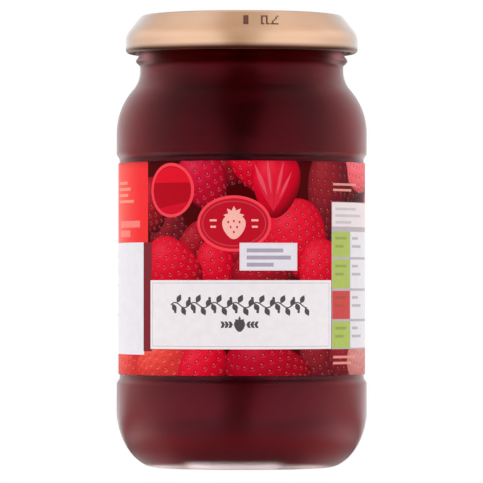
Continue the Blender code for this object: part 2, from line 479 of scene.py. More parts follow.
def body_wall(inset):
    """The wall from the heel to the shoulder, moved in by inset."""
    lower = [PANEL_BOTTOM - PANEL_EASE * (1 - share) for share in steps(9)]
    middle = [PANEL_BOTTOM + (PANEL_TOP - PANEL_BOTTOM) * share for share in steps(14)]
    upper = [PANEL_TOP + PANEL_EASE * share for share in steps(9)]
    return [(body_radius(z) - inset, z) for z in lower + middle[1:-1] + upper]


def shoulder(convex, concave, outer_radius, inner_radius, count):
    """Two arcs that meet in a slope: out of the wall, then into the neck."""
    turn = math.acos(1 - (outer_radius - inner_radius) / (convex + concave))
    rise = (convex + concave) * math.sin(turn)
    first = arc((outer_radius - convex, SHOULDER_START), convex, 0, turn, count)
    second = arc((inner_radius + concave, SHOULDER_START + rise), concave, math.pi + turn, math.pi, count)
    return first + second[1:]


def bead():
    """The round ring under the lid that the glassworks holds the jar by."""
    middle = (BEAD_TOP + BEAD_BOTTOM) / 2
    half = (BEAD_TOP - BEAD_BOTTOM) / 2
    points = []
    for share in steps(14):
        root = NECK_RADIUS + (FINISH_RADIUS - NECK_RADIUS) * share
        swell = math.sin(math.pi * share) ** 2
        points.append((root + (BEAD_RADIUS - root) * swell, middle + half * (2 * share - 1)))
    return points


def finish():
    """The threaded stretch above the bead, up to the round lip."""
    top = LIP_TOP - LIP_ROUND
    rows = [BEAD_TOP + (top - BEAD_TOP) * share for share in steps(28)[1:-1]]
    lip = arc((FINISH_RADIUS - LIP_ROUND, top), LIP_ROUND, 0, math.pi / 2, 8)
    return [(FINISH_RADIUS, z) for z in rows] + lip


def glass_outside():
    """Outline from the middle of the push-up, round the foot and up to the lip."""
    return (
        dome(RING_INNER_RADIUS, 0.0, PUSH_UP, 14)
        + heel(HEEL_INNER_RADIUS, 0.0, BODY_RADIUS, HEEL_HEIGHT, 30)
        + body_wall(0.0)
        + shoulder(SHOULDER_RADIUS, SHOULDER_FILLET, BODY_RADIUS, NECK_RADIUS, 16)
        + bead()
        + finish()
    )


def glass_inside(inset):
    """Outline from the middle of the floor up to the neck, moved into the hollow by inset."""
    floor_edge = FLOOR_THICKNESS + inset
    depth = WALL + inset
    wall_radius = BODY_RADIUS - depth
    floor = dome(FLOOR_RADIUS, floor_edge, floor_edge + PUSH_UP, 10)
    corner = heel(FLOOR_RADIUS, floor_edge, wall_radius, HEEL_HEIGHT + FLOOR_THICKNESS, 20)
    neck = shoulder(SHOULDER_RADIUS - depth, SHOULDER_FILLET + depth, wall_radius, BORE_RADIUS - inset, 12)
    return floor[:-1] + corner[:-1] + body_wall(depth) + neck


def thread_rise(angle, height):
    """How far the thread stands out of the finish at this place."""
    along = (angle % (2 * math.pi / THREAD_STARTS)) / THREAD_TURN
    if along >= 1:
        return 0.0
    ends = min(1.0, along / THREAD_TAPER, (1 - along) / THREAD_TAPER)
    middle = THREAD_HIGH + (THREAD_LOW - THREAD_HIGH) * along
    off = abs(height - middle) / THREAD_HALF_HEIGHT
    return THREAD_DEPTH * ends * math.cos(math.pi / 2 * min(off, 1.0))


def seam_rise(angle):
    """The mould's two seams, at the left and right of the label's front."""
    off = min(abs(angle), math.pi - abs(angle))
    return SEAM_HEIGHT * eased(1 - off / SEAM_HALF_ANGLE)


def glass_rise(radius, angle, place):
    """How far the moulded surface stands out of the true outline at this place."""
    height = place.z
    if BEAD_TOP < height < LIP_TOP - LIP_ROUND:
        return thread_rise(angle, height) if radius > FINISH_RADIUS - LIP_ROUND else 0.0
    body = eased((height - HEEL_HEIGHT / 3) / HEEL_HEIGHT) * eased((BEAD_BOTTOM - height) / HEEL_HEIGHT)
    ripple = noise.noise(place / RIPPLE_LENGTH) * RIPPLE_DEPTH
    return body * (ripple + seam_rise(angle) - SEAM_HEIGHT)


def knurl_rise(radius, angle, height):
    """Fine ridges on the heel just outside the ring that the jar stands on."""
    if height > KNURL_HEIGHT or radius < HEEL_INNER_RADIUS:
        return 0.0
    fade = eased((radius - HEEL_INNER_RADIUS) / MM) * eased(1 - height / KNURL_HEIGHT)
    return KNURL_DEPTH * fade * (1 + math.cos(KNURLS * angle)) / 2


def glass_material():
    """Clear flint glass with the faint grain that a mould leaves, glossier from the label's top down to its
    foot. Under the lid the lid's shade is painted in: the glass is darker, rougher and has no gloss.
    """
    material, graph, shader, place = new_material("clear_flint_glass")
    slow = graph.noise(place, 11 * MM, 1.0)
    fine = graph.noise(place, 1.4 * MM, 2.0)
    smear = graph.stretch(graph.noise(place, 24 * MM, 3.0), 0.35, 0.75, 0.28, 0.30)
    height = graph.parts(place)["Z"]
    low = graph.stretch(height, LABEL_TOP, LABEL_BOTTOM)
    gloss = graph.mix(low, (0.10, 0.09, 0.11), (0.20, 0.185, 0.23))
    # painted shade of the lid: above the bead's foot the glass is darkened, roughened and loses its gloss
    painted_lid_shade = graph.stretch(height, BEAD_BOTTOM - MM, BEAD_BOTTOM + MM)
    grain = graph.maths("ADD", slow, graph.times(fine, 0.01))
    graph.feed(shader, {
        "Base Color": graph.mix(painted_lid_shade, (0.97, 0.985, 0.98), (0.52, 0.27, 0.28)),
        "Roughness": graph.maths("ADD", smear, graph.times(painted_lid_shade, 0.12)),
        "IOR": graph.stretch(painted_lid_shade, 0.0, 1.0, 1.5, 1.08),
        "Specular Tint": graph.mix(painted_lid_shade, gloss, (0.0, 0.0, 0.0)),
        "Transmission Weight": 1.0,
        "Normal": graph.bump(grain, 0.25, 0.12 * MM),
    })
    return material


def make_glass():
    """The jar, with its moulded faults on the outside only."""
    outline = glass_outside()
    piece = turned("jar_glass", outline + glass_inside(0.0)[::-1], glass_material())
    outer_points = (len(outline) - 1) * SIDES + 1
    for vertex in piece.data.vertices[:outer_points]:
        x, y, z = vertex.co
        radius = math.hypot(x, y)
        if radius < ON_AXIS:
            continue
        angle = math.atan2(y, x)
        rise = glass_rise(radius, angle, vertex.co) - knurl_rise(radius, angle, z)
        vertex.co.x *= 1 + rise / radius
        vertex.co.y *= 1 + rise / radius
    add_piece(piece, "glass_jar")


# Jam


def jam_material():
    """Dark red jelly with paler lumps of fruit and a few seeds. Painted light makes it redder towards the
    foot, with a painted glow at the foot, and paler where it turns away from the eye; it is lighter near the
    top, and under the lid the painted edge light is cut back as the lid's painted shade.
    """
    material, graph, shader, place = new_material("jam_behind_glass")
    lumps = graph.noise(place, 9 * MM, 3.0, 0.55)
    height = graph.parts(place)["Z"]
    # painted light from the table: the jam is made redder and lighter towards the foot
    low = graph.stretch(height, 45 * MM, 13 * MM)
    jelly = graph.mix(low, srgb(46, 1, 3), srgb(74, 3, 11))
    fruit = graph.mix(low, srgb(66, 3, 8), srgb(90, 6, 16))
    colour = graph.mix(graph.stretch(lumps, 0.42, 0.68), jelly, fruit)
    # painted glow of the table's light at the foot
    colour = graph.mix(graph.stretch(height, 14 * MM, 7.5 * MM), colour, srgb(130, 2, 18))
    colour = graph.mix(graph.stretch(height, 100 * MM, 112 * MM), colour, srgb(66, 1, 3))
    # painted light: paler red where the jam turns away from the eye, cut back under the lid as the lid's
    # painted shade
    normal = graph.node("NewGeometry").outputs["Normal"]
    level = graph.vector_maths("MULTIPLY", {0: normal, 1: (1.0, 1.0, 0.0)}).outputs[0]
    level = graph.vector_maths("NORMALIZE", {0: level}).outputs[0]
    facing = graph.node("LayerWeight", inputs={"Blend": 0.5, "Normal": level}).outputs["Facing"]
    painted_edge_light = graph.stretch(facing, 0.10, 0.28, smooth=False)
    outside_painted_lid_shade = graph.stretch(height, BEAD_BOTTOM - MM, BEAD_BOTTOM + MM, 1.0, 0.14)
    colour = graph.mix(graph.times(painted_edge_light, outside_painted_lid_shade), colour, srgb(146, 18, 26))
    cells = graph.node("TexVoronoi", {"feature": "F1"}, {"Vector": place, "Scale": 1 / (5.5 * MM)})
    speck = graph.stretch(cells.outputs["Distance"], 0.10, 0.07)
    near_surface = graph.stretch(graph.noise(place, 13 * MM, 1.0), 0.50, 0.60)
    seeds = graph.times(speck, near_surface, 0.35)
    graph.feed(shader, {
        "Base Color": graph.mix(seeds, colour, srgb(150, 70, 40)),
        "Roughness": graph.stretch(lumps, 0.3, 0.7, 0.13, 0.22),
        "Specular IOR Level": 0.36,
        "Specular Tint": (1.0, 0.04, 0.09, 1.0),
        "Normal": graph.bump(lumps, 0.35, 0.6 * MM),
    })
    return material


def make_jam():
    """The jam up to its level, with an uneven top."""
    below = [point for point in glass_inside(-JAM_BITE) if point[1] < JAM_LEVEL]
    edge = BORE_RADIUS + JAM_BITE
    top = [(edge * (1 - share), JAM_LEVEL - JAM_SAG * eased(share * 4)) for share in steps(14)]
    piece = turned("jam_fill", below + top, jam_material())
    for vertex in piece.data.vertices:
        inner = eased((edge - vertex.co.xy.length) / JAM_EDGE)
        if vertex.co.z > JAM_LEVEL - 2 * JAM_SAG:
            lump = noise.noise(vertex.co / JAM_LUMP_LENGTH) - 0.5
            vertex.co.z += JAM_LUMP * lump * inner
    add_piece(piece, "jam")


# Lid


def lid_shell():
    """The lid's outer outline, from the middle of its top down to the skirt."""
    panel = LID_TOP - STEP_DEPTH
    button = dome(BUTTON_RADIUS, panel + BUTTON_RISE - BUTTON_FALL, panel + BUTTON_RISE, 8)
    edge = button[-1][1]
    fall = panel - edge
    slope = [(BUTTON_RADIUS + BUTTON_STEP * share, edge + fall * eased(share)) for share in steps(8)]
    flat_end = RIM_RADIUS - STEP_WIDTH
    flat_start = BUTTON_RADIUS + BUTTON_STEP
    flat = [(flat_start + (flat_end - flat_start) * share, panel) for share in steps(8)]
    rise = [(flat_end + STEP_WIDTH * share, panel + STEP_DEPTH * eased(share)) for share in steps(7)]
    corner_centre = (RIM_RADIUS, LID_TOP - CORNER_ROUND)
    corner = arc(corner_centre, CORNER_ROUND, math.pi / 2, SLOPE, 10)
    bend = arc((LID_RADIUS - SLOPE_BEND, SKIRT_TOP), SLOPE_BEND, SLOPE, 0, 12)
    return button + slope[1:] + flat[1:] + rise[1:] + corner[1:] + bend


def inward(points, distance):
    """The outline moved to its inner side, square to itself at each point."""
    moved = []
    for i, (radius, height) in enumerate(points):
        before = points[max(i - 1, 0)]
        after = points[min(i + 1, len(points) - 1)]
        along = (after[0] - before[0], after[1] - before[1])
        share = distance / math.hypot(*along)
        moved.append((max(radius + share * along[1], 0.0), height - share * along[0]))
    return moved


def curl():
    """The rolled lower edge of the skirt, from its outer side round to the inner wall."""
    centre = (LID_RADIUS - CURL_ROUND, CURL_BOTTOM + CURL_ROUND)
    return arc(centre, CURL_ROUND, 0, -CURL_TURN, 26)


def lid_material():
    """Gold lacquer on tinplate: satin, with an orange-peel grain. Painted shade darkens the skirt, the edges
    that turn away from the eye and, most of all, the curl, which also loses its gloss and coat.
    """
    material, graph, shader, place = new_material("gold_lacquer_satin")
    cloud = graph.noise(place, 12 * MM, 3.0)
    grain = graph.noise(place, 0.5 * MM, 1.0)
    height = graph.parts(place)["Z"]
    facing = graph.node("LayerWeight", inputs={"Blend": 0.5}).outputs["Facing"]
    colour = graph.mix(graph.stretch(cloud, 0.35, 0.7), srgb(247, 192, 149), srgb(253, 201, 163))
    # painted shade: the skirt is darker than the slope above it
    skirt = graph.stretch(height, SKIRT_TOP + 2.2 * MM, SKIRT_TOP - 0.8 * MM)
    colour = graph.mix(skirt, colour, srgb(217, 168, 130))
    # painted shade where the lid turns away from the eye
    colour = graph.mix(graph.stretch(facing, 0.41, 0.87), colour, srgb(152, 113, 85))
    # painted shade on the curl, less dark where it turns away from the eye; the curl also loses its gloss and
    # coat
    curl_shade_colour = graph.mix(graph.stretch(facing, 0.45, 0.90), srgb(60, 22, 14), srgb(150, 110, 88))
    curled = graph.stretch(height, CURL_BOTTOM + 1.85 * CURL_ROUND, CURL_BOTTOM + 0.35 * CURL_ROUND)
    graph.feed(shader, {
        "Base Color": graph.mix(curled, colour, curl_shade_colour),
        "Metallic": 0.3,
        "Roughness": graph.stretch(cloud, 0.3, 0.75, 0.29, 0.38),
        "Specular Tint": graph.mix(curled, (0.8, 0.75, 0.7), (0.05, 0.04, 0.03)),
        "Coat Weight": graph.stretch(curled, 0.0, 1.0, 1.0, 0.0),
        "Coat IOR": 1.85,
        "Coat Roughness": 0.18,
        "Normal": graph.bump(grain, 0.12, 0.05 * MM),
    })
    return material


def make_lid():
    """The twist-off lid: one pressed sheet with a sunk panel, a sloping shoulder and a curled edge."""
    shell = lid_shell()
    outline = shell + curl() + inward(shell, SHEET)[::-1]
    piece = turned("lid_gold", outline[::-1], lid_material())
    low = CURL_BOTTOM + 2 * CURL_ROUND
    roll_middle = LID_RADIUS - CURL_ROUND
    pitch = 2 * math.pi / THREAD_STARTS
    for vertex in piece.data.vertices:
        x, y, z = vertex.co
        radius = math.hypot(x, y)
        off = abs((math.atan2(y, x) + pitch / 2) % pitch - pitch / 2)
        if z < low and radius < roll_middle and off < LUG_ANGLE:
            scale = 1 - LUG_REACH * math.cos(math.pi / 2 * off / LUG_ANGLE) / radius
            vertex.co.x = x * scale
            vertex.co.y = y * scale
    add_piece(piece, "lid")


# Three made-up marks, in dots, on the front of the lid's slope
MARKS = (
    ("111",) * 7,
    ("11110", "10010", "10010", "10010", "10010", "10010", "11011"),
    ("00001", "00010", "00010", "00100", "01000", "01000", "11111"),
)
MARK_STARTS = (0.7, 5.7, 8.4)
DOT_PITCH = 0.48
DOT_RADIUS = 0.28 * MM
DOT_HEIGHT = 0.03 * MM
DOT_SIDES = 10
MARK_DROP = 1.45 * MM


def ink_material():
    """Dark brown jet ink with an uneven edge to its tone."""
    material, graph, shader, place = new_material("jet_ink")
    cloud = graph.noise(place, 0.8 * MM, 1.0)
    colour = graph.mix(cloud, srgb(88, 46, 28), srgb(128, 78, 56))
    graph.feed(shader, {"Base Color": colour, "Roughness": 0.5})
    return material


def make_lid_ink():
    """A jet-printed code of dots, each a low disc."""
    high_radius = RIM_RADIUS + CORNER_ROUND * math.cos(SLOPE)
    high = (high_radius, LID_TOP - CORNER_ROUND + CORNER_ROUND * math.sin(SLOPE))
    low_radius = LID_RADIUS - SLOPE_BEND + SLOPE_BEND * math.cos(SLOPE)
    low = (low_radius, SKIRT_TOP + SLOPE_BEND * math.sin(SLOPE))
    length = math.dist(high, low)
    along = ((low[0] - high[0]) / length, (low[1] - high[1]) / length)
    points = []
    faces = []
    for rows, start in zip(MARKS, MARK_STARTS):
        for row, marks in enumerate(rows):
            down = MARK_DROP + DOT_PITCH * MM * row
            radius = high[0] + along[0] * down
            height = high[1] + along[1] * down
            for column, mark in enumerate(marks):
                if mark == "0":
                    continue
                angle = (start + DOT_PITCH * column) * MM / radius
                out = Vector((math.sin(angle), -math.cos(angle), 0.0))
                centre = out * radius + Vector((0.0, 0.0, height))
                across = Vector((math.cos(angle), math.sin(angle), 0.0))
                downward = out * along[0] + Vector((0.0, 0.0, along[1]))
                outward = out * -along[1] + Vector((0.0, 0.0, along[0]))
                under = [len(points) + k for k in range(DOT_SIDES)]
                over = [corner + DOT_SIDES for corner in under]
                for level in (-DOT_HEIGHT, DOT_HEIGHT):
                    for k in range(DOT_SIDES):
                        turn = 2 * math.pi * k / DOT_SIDES
                        rim = across * math.cos(turn) - downward * math.sin(turn)
                        points.append(centre + rim * DOT_RADIUS + outward * level)
                faces += [under[::-1], over]
                for k in range(DOT_SIDES):
                    after = (k + 1) % DOT_SIDES
                    faces.append([under[k], under[after], over[after], over[k]])
    mesh = bpy.data.meshes.new("lid_ink")
    mesh.from_pydata(points, [], faces)
    mesh.materials.append(ink_material())
    add_piece(add_object("lid_ink", mesh), "lid")


# Label, drawn flat in millimetres: s runs right along the paper from the middle of the front, z is height

SHEET_LEFT = -SEAM_ARC
SHEET_RIGHT = SHEET_LEFT + 2 * math.pi * LABEL_RADIUS / MM + OVERLAP
SHEET_LOW = LABEL_BOTTOM / MM
SHEET_HIGH = LABEL_TOP / MM
LONGEST_EDGE = 1.5
SAMPLE_STEP = 1.3

PAPER_WHITE = srgb(244, 237, 240)
PALE_PINK = srgb(252, 68, 82)
GREY_INK = srgb(84, 80, 84)
SHADOW_RED = srgb(74, 1, 3)
LEAF_GREEN = srgb(178, 194, 102)
BOX_RED = srgb(208, 81, 79)
ORANGE_RED = srgb(250, 52, 56)

# Berry tones: in shade, in plain light, in full light, and the gleam
TONES = {
    "bright": (srgb(120, 1, 16), srgb(208, 3, 36), srgb(230, 22, 50), srgb(246, 72, 92)),
    "pink": (srgb(108, 1, 20), srgb(186, 5, 40), srgb(212, 18, 58), srgb(238, 78, 106)),
    "deep": (srgb(62, 6, 12), srgb(140, 10, 26), srgb(176, 22, 40), srgb(214, 66, 78)),
    "wine": (srgb(54, 9, 15), srgb(108, 18, 30), srgb(144, 28, 40), srgb(180, 56, 66)),
    "orange": (srgb(152, 24, 26), srgb(216, 48, 48), srgb(240, 74, 66), srgb(252, 132, 114)),
    "rose": (srgb(176, 50, 60), srgb(238, 92, 104), srgb(248, 114, 124), srgb(252, 150, 152)),
    "crimson": (srgb(96, 1, 14), srgb(164, 2, 28), srgb(190, 8, 42), srgb(214, 54, 78)),
    "pale": (srgb(150, 74, 74), srgb(200, 116, 112), srgb(214, 136, 130), srgb(230, 166, 158)),
}

# Berry shape, its light by how far a place faces out, up and right, and where each tone starts, how fast it
# comes in and how much of it there is at most
TAPER = 0.24
SMALL_TAPER = 0.3
LIT_OUT = 0.62
LIT_UP = 0.42
LIT_RIGHT = -0.30
TONE_STEPS = ((-0.28, 0.70, 1.0), (0.42, 0.34, 1.0), (0.74, 0.12, 0.5))

# Seeds: their gap, how far round the berry they go, and half their size
SEED_GAP = 2.5
SEED_LONGITUDE = 1.18
SEED_LATITUDE = 1.22
SEED_ACROSS = 0.62
SEED_ALONG = 0.74


def ellipse(centre, half_width, half_height, tilt=0.0, count=40):
    """The outline of an ellipse, turned by tilt."""
    points = []
    for i in range(count):
        angle = 2 * math.pi * i / count
        points.append(turned_place(centre, half_width * math.cos(angle), half_height * math.sin(angle), tilt))
    return points


def turned_place(centre, across, along, tilt):
    """The place of a point given in a frame at centre that is turned anticlockwise by tilt."""
    cosine = math.cos(tilt)
    sine = math.sin(tilt)
    return (centre[0] + across * cosine - along * sine, centre[1] + across * sine + along * cosine)


def berry_outline(centre, half_width, half_length, taper, tilt=0.0, count=44):
    """The outline of a strawberry, its wide end up before it is turned by tilt."""
    points = []
    for i in range(count):
        angle = 2 * math.pi * i / count
        across = half_width * math.sin(angle) * (1 + taper * math.cos(angle))
        points.append(turned_place(centre, across, half_length * math.cos(angle), tilt))
    return points


def leaf(root, length, half_width, tilt):
    """A pointed leaf that starts at root and runs at tilt degrees from level."""
    tilt = math.radians(tilt)
    points = []
    for side in (1, -1):
        for share in steps(7)[:-1]:
            along = share if side > 0 else 1 - share
            across = side * half_width * math.sin(math.pi * along) ** 1.2
            points.append(turned_place(root, length * along, -across, tilt))
    return points


def ribbon(path, half_width):
    """A thin band along a path."""
    left = []
    right = []
    for i, (x, z) in enumerate(path):
        before = path[max(i - 1, 0)]
        after = path[min(i + 1, len(path) - 1)]
        along = Vector((after[0] - before[0], after[1] - before[1])).normalized() * half_width
        left.append((x - along.y, z + along.x))
        right.append((x + along.y, z - along.x))
    return left + right[::-1]


class Sheet:
    """Shapes on the label, each over the ones before. An ink is a colour or a function of the place."""

    def __init__(self):
        self.shapes = []

    def add(self, outline, ink):
        """Puts one more shape on top."""
        self.shapes.append((outline, ink))

    def box(self, left, low, right, high, ink):
        """Puts a box on top."""
        self.add([(left, low), (right, low), (right, high), (left, high)], ink)

    def cover(self, left, low, right, high, ink):
        """Puts a box on top and takes away the shapes that it hides altogether."""
        self.shapes = [
            shape
            for shape in self.shapes
            if any(not (left < x < right and low < z < high) for x, z in shape[0])
        ]
        self.box(left, low, right, high, ink)

    def berry(self, s, z, half_width, half_length, tilt, tone, seeds=True):
        """A strawberry with its wide end up before it is turned by tilt degrees."""
        tilt = math.radians(tilt)
        shade, *brighter = TONES[tone]

        def ink(at_s, at_z):
            across, along = turned_place((0.0, 0.0), at_s - s, at_z - z, -tilt)
            along = max(min(along / half_length, 1.0), -1.0)
            across /= half_width * (1 + TAPER * along)
            depth = math.sqrt(max(0.0, 1 - min(1.0, across * across + along * along)))
            lean_s, lean_z = turned_place((0.0, 0.0), across, along, tilt)
            lit = LIT_OUT * depth + LIT_UP * lean_z + LIT_RIGHT * lean_s
            colour = shade
            for bright, (start, rise, most) in zip(brighter, TONE_STEPS):
                colour = mixed(colour, bright, most * eased((lit - start) / rise))
            return colour

        self.add(berry_outline((s, z), half_width, half_length, TAPER, tilt), ink)
        if not seeds:
            return
        rows = max(3, round(math.pi * half_length / SEED_GAP / 1.05))
        for row in range(1, rows):
            latitude = math.pi * (row / rows - 0.5)
            ring = math.pi * half_width * math.cos(latitude)
            columns = max(1, round(ring / SEED_GAP / 1.1))
            for column in range(columns):
                longitude = math.pi * ((column + (0.25 if row % 2 else 0.75)) / columns - 0.5)
                if abs(longitude) > SEED_LONGITUDE or abs(latitude) > SEED_LATITUDE:
                    continue
                along = math.sin(latitude)
                across = half_width * math.sin(longitude) * math.cos(latitude) * (1 + TAPER * along)
                place = turned_place((s, z), across, half_length * along, tilt)
                squeeze = (math.cos(longitude), math.cos(latitude))
                self.seed(place, squeeze, tilt, ink(*place), shade, brighter[-1])

    def seed(self, place, squeeze, tilt, skin, shade, gleam):
        """One seed: a dimple in shade, the seed, and a gleam on the dimple's lower edge."""
        across = SEED_ACROSS * max(squeeze[0], 0.35)
        along = SEED_ALONG * max(squeeze[1], 0.45)
        dimple = mixed(skin, shade, 0.46)
        shine = mixed(skin, gleam, 0.36)
        grain = mixed(skin, srgb(240, 140, 104), 0.28)
        below = turned_place(place, 0.30 * across, -0.55 * along, 0.0)
        self.add(ellipse(below, across * 1.05, along * 0.95, tilt, 9), shine)
        self.add(ellipse(place, across, along, tilt, 9), dimple)
        self.add(ellipse(place, across * 0.42, along * 0.52, tilt, 7), grain)

    def bars(self, left, right, top, pitch, height, widths, ink):
        """Plain bars in place of lines of small print."""
        for i, width in enumerate(widths):
            if width:
                high = top - pitch * i
                self.box(left, high - height, left + (right - left) * width, high, ink)

    def mesh(self, name, radius):
        """Cuts the sheet into triangles by its shapes and wraps it round the jar."""
        points = []
        loops = []
        for outline, _ in self.shapes:
            if winding(outline) < 0:
                outline = outline[::-1]
            loop = []
            for (x0, z0), (x1, z1) in zip(outline, outline[1:] + outline[:1]):
                pieces = max(1, math.ceil(math.hypot(x1 - x0, z1 - z0) / LONGEST_EDGE))
                for k in range(pieces):
                    loop.append(len(points))
                    points.append(Vector((x0 + (x1 - x0) * k / pieces, z0 + (z1 - z0) * k / pieces)))
            loops.append(loop)
        columns = int((SHEET_RIGHT - SHEET_LEFT) / SAMPLE_STEP)
        rows = int((SHEET_HIGH - SHEET_LOW) / SAMPLE_STEP)
        for i in range(1, columns):
            for k in range(1, rows):
                at_s = SHEET_LEFT + SAMPLE_STEP * (i + 0.5 * (k % 2))
                points.append(Vector((at_s, SHEET_LOW + SAMPLE_STEP * k)))
        cut = geometry.delaunay_2d_cdt(points, [], loops, 1, 1e-5, True)
        flat, triangles, sources = cut[0], cut[2], cut[5]
        kept = [(face, max(source)) for face, source in zip(triangles, sources) if 0 in source]
        used = sorted({corner for face, _ in kept for corner in face})
        renumbered = {old: new for new, old in enumerate(used)}
        mesh = bpy.data.meshes.new(name)
        wrapped = [wrap(flat[old].x, flat[old].y, radius) for old in used]
        mesh.from_pydata(wrapped, [], [[renumbered[corner] for corner in face] for face, _ in kept])
        print_colours = mesh.color_attributes.new("print", "FLOAT_COLOR", "CORNER")
        numbers = []
        for face, top in kept:
            ink = self.shapes[top][1]
            for corner in face:
                colour = ink(flat[corner].x, flat[corner].y) if callable(ink) else ink
                numbers += [*colour, 1.0]
        print_colours.data.foreach_set("color", numbers)
        mesh.shade_smooth()
        return mesh


def winding(outline):
    """Twice the area of an outline, below zero if it runs clockwise."""
    return sum(x0 * z1 - x1 * z0 for (x0, z0), (x1, z1) in zip(outline, outline[1:] + outline[:1]))


def wrap(s, z, radius):
    """A place on the sheet, wrapped round the jar. The sheet's end lies on its start."""
    lift = LIFT * eased((s - SHEET_RIGHT + OVERLAP + LIFT_LENGTH) / LIFT_LENGTH)
    angle = s * MM / LABEL_RADIUS
    return ((radius + lift) * math.sin(angle), -(radius + lift) * math.cos(angle), z * MM)


def blend(colour_left, colour_right, left, right):
    """An ink that runs from one colour to another along the sheet."""
    return lambda s, z: mixed(colour_left, colour_right, (s - left) / (right - left))


# Middle along the sheet and in height, half width, half length, tilt in degrees and tone of each berry
FRONT_BERRIES = (
    (-3.5, 87.5, 5.5, 8, 12, "deep"),
    (34, 84, 9, 12, 62, "wine"),
    (46, 86, 7.5, 11, 80, "rose"),
    (27.6, 77.5, 8, 14.5, -5, "wine"),
    (3.2, 86, 5.6, 8.8, 24, "bright"),
    (-11, 81.5, 6.9, 9.2, 28, "pink"),
    (-22.5, 67.5, 8.5, 6.5, 84, "wine"),
    (-28, 75, 6, 8, 10, "deep"),
    (2, 62, 7.5, 9, 60, "deep"),
    (-13, 64, 5.2, 7.4, -50, "deep"),
    (17, 64.5, 9.8, 12.4, 32, "bright"),
    (24, 56.5, 7.4, 9, -24, "bright"),
    (-7, 57, 5.2, 8.4, 14, "bright"),
    (-21, 57.5, 7.8, 10.2, 72, "bright"),
    (6, 55, 6, 9, 84, "deep"),
    (-60, 30, 9, 12, 84, "orange"),
    (-42, 29, 8.5, 11, 70, "orange"),
    (-25, 30.5, 8.2, 11, -76, "orange"),
    (-12, 28.5, 6.6, 9, -38, "bright"),
    (24, 31, 6, 9, 20, "wine"),
    (8, 29, 7.2, 13, 82, "crimson"),
    (36, 30.5, 6.4, 9.4, 66, "wine"),
    (47.5, 30, 7, 12, 82, "pale"),
)


def draw_background(sheet):
    """Strawberries all round, over a dark ground."""
    sheet.box(SHEET_LEFT, SHEET_LOW, SHEET_RIGHT, SHEET_HIGH, SHADOW_RED)
    dice = random.Random(11)
    tones = ("deep", "bright", "pink", "bright", "wine")
    for side_left, side_right in ((-112.0, -62.0), (56.0, 124.0)):
        for row in range(5):
            place = side_left
            while place < side_right:
                z = 29 + 14 * row + dice.uniform(-3, 3)
                size = dice.uniform(7.5, 9.5)
                tone = tones[dice.randrange(len(tones))]
                sheet.berry(place, z, size, size * 1.22, dice.uniform(-80, 80), tone)
                place += dice.uniform(12, 15)
    for berry in FRONT_BERRIES:
        sheet.berry(*berry)
    draw_cut_berry(sheet, 10.0, 80.5)


def draw_cut_berry(sheet, s, z):
    """A halved strawberry: red flesh with pale streaks that run up from the tip."""
    sheet.berry(s, z, 6.9, 9.4, -6, "bright", seeds=False)
    tip = (s - 1.0, z - 7.5)
    streaks = ((112, 15.0, 1.1), (97, 16.0, 0.9), (78, 15.0, 0.8), (64, 13.0, 0.7))
    for tilt, length, half_width in streaks:
        sheet.add(leaf(tip, length, half_width, tilt), srgb(222, 34, 58))
        start = turned_place(tip, length * 0.3, 0.0, math.radians(tilt))
        sheet.add(leaf(start, length * 0.66, half_width * 0.55, tilt), srgb(234, 78, 96))


def draw_left_field(sheet):
    """The field, lightened towards its left end by a painted reflection, and the white panel that run on
    round the jar's left side.
    """
    # painted reflection: the field is lighter towards its left end
    glow = blend(srgb(255, 104, 92), ORANGE_RED, -52.0, -34.0)
    sheet.cover(-74.0, 64.4, -30.0, SHEET_HIGH, glow)
    pale = srgb(255, 150, 128)
    sheet.bars(-50.0, -36.0, 81.8, 1.75, 0.8, (0.62, 0.78, 0.66, 0.92), pale)
    sheet.bars(-47.5, -32.5, 70.6, 2.7, 1.9, (0.92, 0.55), srgb(252, 132, 124))
    sheet.bars(-70.0, -56.0, 82.0, 2.2, 1.0, (1.0, 0.85, 0.95, 0.6, 0.9, 0.7), pale)
    sheet.cover(-74.0, 32.6, -31.7, 64.4, srgb(238, 234, 239))
    widths = (1.0, 0.9, 0.97, 0.85, 1.0, 0.6, 0, 0.9, 1.0, 0.8, 0.95, 0.5)
    sheet.bars(-71.0, -53.0, 61.0, 2.1, 0.75, widths, GREY_INK)


def draw_roundel(sheet, s, z):
    """A plain disc in two reds with a pink rim."""
    rim, inner, line = 7.4, 6.5, 81.2
    sheet.add(ellipse((s, z), rim, rim + 0.3), PALE_PINK)
    sheet.add(ellipse((s, z), inner, inner + 0.3), srgb(186, 8, 30))
    start = math.asin((line - z) / inner)
    cap = arc((s, z), inner, start, math.pi - start, 18)
    sheet.add(cap, srgb(230, 20, 40))
    foot = arc((s, z), inner, math.pi + 0.9, 2 * math.pi - 0.55, 12)
    sheet.add(foot, srgb(218, 14, 46))


def draw_medallion(sheet, s, z):
    """An oval badge with a pale strawberry on deep red."""
    rings = ((10.6, PALE_PINK), (9.8, srgb(200, 24, 46)), (9.1, srgb(206, 62, 74)), (8.8, srgb(196, 18, 40)))
    for half_width, ink in rings:
        sheet.add(ellipse((s, z), half_width, half_width - 2.7, count=60), ink)
    pale = srgb(255, 186, 176)
    sheet.add(berry_outline((s, z - 0.9), 3.2, 3.5, SMALL_TAPER, count=30), pale)
    for tilt in (10, 50, 90, 130, 170):
        sheet.add(leaf((s, z + 1.9), 3.0, 0.62, tilt), pale)
    for across, up in ((-1.6, 0.4), (0.0, 0.7), (1.6, 0.4), (-0.9, -1.0), (0.9, -1.0), (0.0, -2.4)):
        sheet.add(ellipse((s + across, z + up), 0.26, 0.4, 0.0, 8), srgb(196, 18, 40))
    for side in (-1, 1):
        for lift, reach in ((0.9, 2.0), (-0.9, 1.6)):
            left = s + side * 5.9 - reach / 2
            sheet.box(left, z + lift - 0.28, left + reach, z + lift + 0.28, pale)


